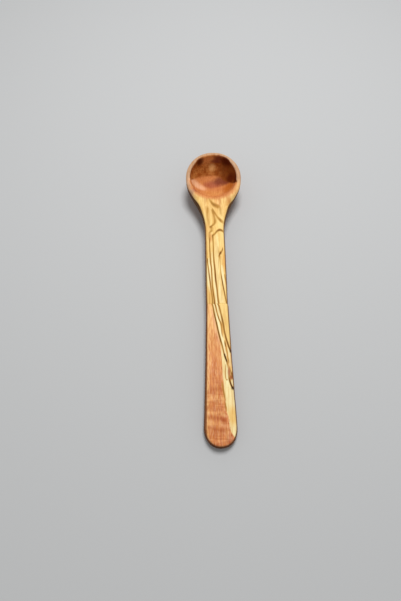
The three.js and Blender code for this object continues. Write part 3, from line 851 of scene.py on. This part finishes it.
def grip_heartwood(wood, colours):
    """Streaked and rippled heartwood of the grip, with a painted highlight along its left edge and painted
    shade right at that edge
    """
    heart = wood.blend(wood.ramp(wood.y, *HEART_LIGHTENING), colours.heartwood, colours.pale_heartwood_and_painted_light)
    heart = wood.stains(heart, HEART_STAINS, colours)
    heart = wood.blend(wood.grain_along(RED_STREAKS, RED_STREAKS_ALONG), heart, colours.red_heartwood)
    salmon = wood.math("MULTIPLY", wood.veins(GRIP_SALMON), SALMON_SHARE)
    heart = wood.blend(salmon, heart, colours.pink_heartwood)
    left_edge = wood.math("MULTIPLY_ADD", wood.y, GRIP_TAPER, GRIP_LEFT)
    from_left = wood.math("SUBTRACT", wood.x, left_edge)
    # Painted highlight: paler wood along the grip's left top edge
    heart = wood.blend(wood.ramp(from_left, *LEFT_EDGE_PAINTED_HIGHLIGHT), heart, colours.pale_heartwood_and_painted_light)
    heart = wood.blend(wood.grain(LIGHT_STREAKS), heart, colours.pale_heartwood_and_painted_light)
    heart = wood.blend(wood.grain_along(RED_FLECKS, RED_FLECKS_ALONG), heart, colours.red_heartwood)
    heart = wood.blend(wood.grain_along(PINK_GLINTS, PINK_GLINTS_ALONG), heart, colours.pink_heartwood)
    waves = wood.grain_along(FIBRE_WAVES, FIBRE_WAVES_ALONG)
    ripples = wood.math("MAXIMUM", waves, wood.veins(GRIP_RIPPLES))
    heart = wood.blend(ripples, heart, RIPPLE_SHADE, "MULTIPLY")
    risen = wood.math("MULTIPLY", wood.veins(GRIP_LIGHTS), wood.grain(MOTTLING))
    heart = wood.blend(risen, heart, colours.pale_heartwood_and_painted_light)
    # Painted shade: umber along the very left edge of the top
    return wood.blend(wood.ramp(from_left, *LEFT_EDGE_PAINTED_SHADE), heart, colours.umber_heartwood_and_painted_shade)


def red_olive_wood(colours):
    """Heartwood of the grip, with a strip of sapwood down its right side, painted shade on the flanks, and a
    painted highlight and painted shade along its left edge
    """
    wood = WoodNodes("red olive wood", GRIP_PATCHES)
    edge = wood.curve(wood.y, [(y, x) for x, y in HEART_EDGE])
    teeth = wood.math("MULTIPLY_ADD", wood.noise(TOOTH_SPAN), TOOTH_LENGTH, -TOOTH_LENGTH / 2)
    teeth = wood.math("MULTIPLY", teeth, wood.ramp(wood.y, *TEETH_ALONG))
    into_heart = wood.math("ADD", wood.math("SUBTRACT", edge, wood.over), teeth)
    strip = grip_sapwood(wood, into_heart, colours)
    heart = grip_heartwood(wood, colours)
    colour = wood.blend(wood.ramp(into_heart, *HEART_START), strip, heart)
    colour = paint_shade_on_sides(wood, colour, colours)
    colour = wood.stains(colour, KNOT_STAINS, colours)
    colour = draw_veins(wood, colour, GRIP_VEINS, colours)
    colour = wood.blend(top_veins(wood, BARK_LINES), colour, colours.bark)
    colour = wood.stains(colour, BARK_STAINS, colours)
    return oil_wood(wood, colour)


def dowel_wood(colours):
    """Bare, dry wood of the hidden dowel"""
    wood = WoodNodes("dowel wood")
    bands = wood.noise(DOWEL_SPAN)
    colour = wood.blend(wood.ramp(bands, *DOWEL_BANDS), colours.dowel, colours.dowel_fleck)
    colour = wood.blend(wood.grain(DOWEL_FLECKS), colour, colours.dowel_fleck)
    return finish_wood(wood, colour, bands, bands, BARE_SHEEN)


# Carving

def pick(piece):
    """Makes a piece the only selected object, and the active one."""
    bpy.ops.object.select_all(action="DESELECT")
    piece.select_set(True)
    bpy.context.view_layer.objects.active = piece


def apply_modifier(piece, kind, **settings):
    """Adds a modifier to the active piece and applies it."""
    modifier = piece.modifiers.new(kind, kind)
    for name, setting in settings.items():
        setattr(modifier, name, setting)
    bpy.ops.object.modifier_apply(modifier=modifier.name)


def cut_blank(node_name, piece_name):
    """A new piece with a merged copy of a solid's mesh."""
    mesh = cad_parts[node_name].data.copy()
    mesh.materials.clear()
    piece = bpy.data.objects.new(piece_name, mesh)
    bpy.context.scene.collection.objects.link(piece)
    pick(piece)
    bpy.ops.object.mode_set(mode="EDIT")
    bpy.ops.mesh.select_all(action="SELECT")
    bpy.ops.mesh.remove_doubles(threshold=MERGE_DISTANCE)
    bpy.ops.mesh.select_all(action="DESELECT")
    bpy.ops.object.mode_set(mode="OBJECT")
    return piece


def lengthen_at_splice(piece, outward, overhang):
    """Draws the splice's end face out, so that sanding doesn't round the joint."""
    bpy.context.tool_settings.mesh_select_mode = (False, False, True)
    for face in piece.data.polygons:
        face.select = abs(face.center.y - SPLICE_Y) < SAME_PLACE
    bpy.ops.object.mode_set(mode="EDIT")
    bpy.ops.mesh.extrude_region_move(TRANSFORM_OT_translate={"value": (0, outward * overhang, 0)})
    bpy.ops.object.mode_set(mode="OBJECT")


def sand(piece, carving):
    """Evens out the mesh, rounds over its facets and leaves the gentle waves of hand tools."""
    apply_modifier(piece, "REMESH", mode="VOXEL", voxel_size=carving.fineness)
    group = piece.vertex_groups.new(name="sanded")
    for corner in piece.data.vertices:
        at_bowl = min(max((corner.co.y - NECK_START) / (NECK_END - NECK_START), 0), 1)
        group.add([corner.index], carving.hold + (1 - carving.hold) * at_bowl, "REPLACE")
    apply_modifier(piece, "SMOOTH", factor=SANDING_PRESSURE, iterations=carving.sanding,
                   vertex_group=group.name)
    piece.vertex_groups.clear()
    waves = bpy.data.textures.new("tool waves", "CLOUDS")
    waves.noise_scale = carving.wave_span
    waves.noise_depth = 1
    apply_modifier(piece, "DISPLACE", texture=waves, texture_coords="LOCAL", strength=carving.wave_height)


def trim_at_splice(piece, outward, carving):
    """Cuts the piece off square at the splice and eases the edge of the cut."""
    inset = carving.arris
    keep = {"clear_outer": outward > 0, "clear_inner": outward < 0}
    bpy.ops.object.mode_set(mode="EDIT")
    bpy.ops.mesh.select_all(action="SELECT")
    bpy.ops.mesh.bisect(plane_co=(0, SPLICE_Y - outward * inset, 0), plane_no=(0, 1, 0))
    bpy.ops.mesh.select_all(action="SELECT")
    bpy.ops.mesh.bisect(plane_co=(0, SPLICE_Y, 0), plane_no=(0, 1, 0), use_fill=True, **keep)
    bpy.ops.object.mode_set(mode="OBJECT")
    ends = [corner.co for corner in piece.data.vertices if abs(corner.co.y - SPLICE_Y) < SAME_PLACE]
    half_width = (max(end.x for end in ends) - min(end.x for end in ends)) / 2
    half_height = (max(end.z for end in ends) - min(end.z for end in ends)) / 2
    middle = sum(ends, Vector()) / len(ends)
    bpy.ops.object.mode_set(mode="EDIT")
    bpy.ops.transform.resize(
        value=(1 - inset / half_width, 1, 1 - inset / half_height), center_override=middle)
    bpy.ops.mesh.select_all(action="DESELECT")
    bpy.ops.object.mode_set(mode="OBJECT")


def place_piece(piece, node, material, crease):
    """Gives a carved piece its wood and lets it stand for its solid."""
    pick(piece)
    bpy.ops.object.shade_smooth_by_angle(angle=crease)
    piece.data.materials.append(material)
    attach(piece, BODY)
    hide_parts(node)


def carve_length(context, node, outward, wood):
    """Carves one length of wood; outward is 1 or -1, the way along y that its splice faces."""
    carving = context.scene.ladle_carving
    piece = cut_blank(node, "carved_" + node)
    lengthen_at_splice(piece, outward, carving.overhang)
    sand(piece, carving)
    trim_at_splice(piece, outward, carving)
    place_piece(piece, node, wood(context.scene.ladle_colours), carving.crease)


class LADLE_OT_carve_bowl_and_shaft(bpy.types.Operator):
    """Carve the bowl, the neck and the front half of the handle from one length of wood"""

    bl_idname = "ladle.carve_bowl_and_shaft"
    bl_label = "Carve bowl and shaft"

    def execute(self, context):
        carve_length(context, "bowl_and_shaft", -1, pale_olive_wood)
        return {"FINISHED"}


class LADLE_OT_carve_grip(bpy.types.Operator):
    """Carve the rear half of the handle from a second length of wood"""

    bl_idname = "ladle.carve_grip"
    bl_label = "Carve grip"

    def execute(self, context):
        carve_length(context, "grip", 1, red_olive_wood)
        return {"FINISHED"}


class LADLE_OT_finish_dowel(bpy.types.Operator):
    """Give the hidden dowel its bare wood"""

    bl_idname = "ladle.finish_dowel"
    bl_label = "Finish dowel"

    def execute(self, context):
        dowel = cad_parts["splice_dowel"]
        dowel.data.materials.clear()
        dowel.data.materials.append(dowel_wood(context.scene.ladle_colours))
        return {"FINISHED"}


# Stage

def lay_floor(stage):
    """A plain pale floor just under the ladle"""
    level = SOLID_BOX[0].z - stage.floor_gap
    bpy.ops.mesh.primitive_plane_add(size=stage.floor_size, location=(0, 0, level))
    floor = bpy.context.object
    floor.name = "floor"
    material = bpy.data.materials.new("floor")
    material.use_nodes = True
    shader = material.node_tree.nodes["Principled BSDF"].inputs
    shader["Base Color"].default_value = (*stage.floor, 1.0)
    shader["Roughness"].default_value = FLOOR_ROUGHNESS
    shader["Specular IOR Level"].default_value = FLOOR_SPECULAR
    floor.data.materials.append(material)


def hang_soft_box(stage):
    """One soft box high over the bowl, turned to the right"""
    flat = math.cos(stage.key_rise)
    right = math.sin(stage.key_turn) * flat
    ahead = math.cos(stage.key_turn) * flat
    direction = Vector((right, ahead, math.sin(stage.key_rise)))
    turn = direction.to_track_quat("Z", "Y").to_euler()
    bpy.ops.object.light_add(type="AREA", location=direction * stage.key_distance, rotation=turn)
    lamp = bpy.context.object.data
    lamp.shape = "DISK"
    lamp.size = stage.key_size
    lamp.energy = stage.key_power


def set_sky(stage):
    """Soft light from all round, and a paler backdrop behind the ladle"""
    world = bpy.data.worlds.new("studio")
    world.use_nodes = True
    bpy.context.scene.world = world
    tree = world.node_tree
    sky = tree.nodes["Background"]
    seen = tree.nodes.new("ShaderNodeLightPath").outputs["Is Camera Ray"]
    strength = tree.nodes.new("ShaderNodeMapRange")
    strength.inputs["To Min"].default_value = stage.sky_strength
    strength.inputs["To Max"].default_value = stage.backdrop_strength
    tree.links.new(seen, strength.inputs["Value"])
    tree.links.new(strength.outputs[0], sky.inputs["Strength"])
    sky.inputs["Color"].default_value = (*stage.sky, 1.0)


def set_camera(stage):
    """The camera over the end of the grip, looking down towards the bowl"""
    bpy.ops.object.camera_add(location=stage.eye, rotation=(math.pi / 2 - stage.pitch, 0, -stage.yaw))
    camera = bpy.context.object
    camera.data.lens = stage.lens
    bpy.context.scene.camera = camera


class LADLE_OT_set_stage(bpy.types.Operator):
    """Lay the floor, hang the light and set the camera"""

    bl_idname = "ladle.set_stage"
    bl_label = "Set stage"

    def execute(self, context):
        stage = context.scene.ladle_stage
        context.scene.view_settings.view_transform = "Standard"
        lay_floor(stage)
        hang_soft_box(stage)
        set_sky(stage)
        set_camera(stage)
        return {"FINISHED"}


class LADLE_PT_workshop(bpy.types.Panel):
    """Settings and steps of the ladle"""

    bl_idname = "LADLE_PT_workshop"
    bl_label = "Wooden Ladle"
    bl_space_type = "VIEW_3D"
    bl_region_type = "UI"
    bl_category = "Ladle"

    def draw(self, context):
        for group in SETTINGS:
            settings = getattr(context.scene, group)
            box = self.layout.box()
            for name in settings.bl_rna.properties.keys():
                if name not in ("rna_type", "name"):
                    box.prop(settings, name)
        for step in STEPS:
            self.layout.operator(step.bl_idname)


STEPS = (LADLE_OT_set_stage, LADLE_OT_carve_bowl_and_shaft, LADLE_OT_carve_grip, LADLE_OT_finish_dowel)
SETTINGS = {"ladle_carving": LadleCarving, "ladle_colours": LadleColours, "ladle_stage": LadleStage}
CLASSES = (*SETTINGS.values(), *STEPS, LADLE_PT_workshop)


def register():
    """Makes the settings, the steps and the panel known to Blender."""
    for kind in CLASSES:
        bpy.utils.register_class(kind)
    for name, kind in SETTINGS.items():
        setattr(bpy.types.Scene, name, bpy.props.PointerProperty(type=kind))


def unregister():
    """Takes the settings, the steps and the panel away again."""
    for name in SETTINGS:
        delattr(bpy.types.Scene, name)
    for kind in reversed(CLASSES):
        bpy.utils.unregister_class(kind)


def main():
    """Builds the whole scene."""
    register()
    bpy.ops.ladle.set_stage()
    bpy.ops.ladle.carve_bowl_and_shaft()
    bpy.ops.ladle.carve_grip()
    bpy.ops.ladle.finish_dowel()


if __name__ == "__main__":
    main()
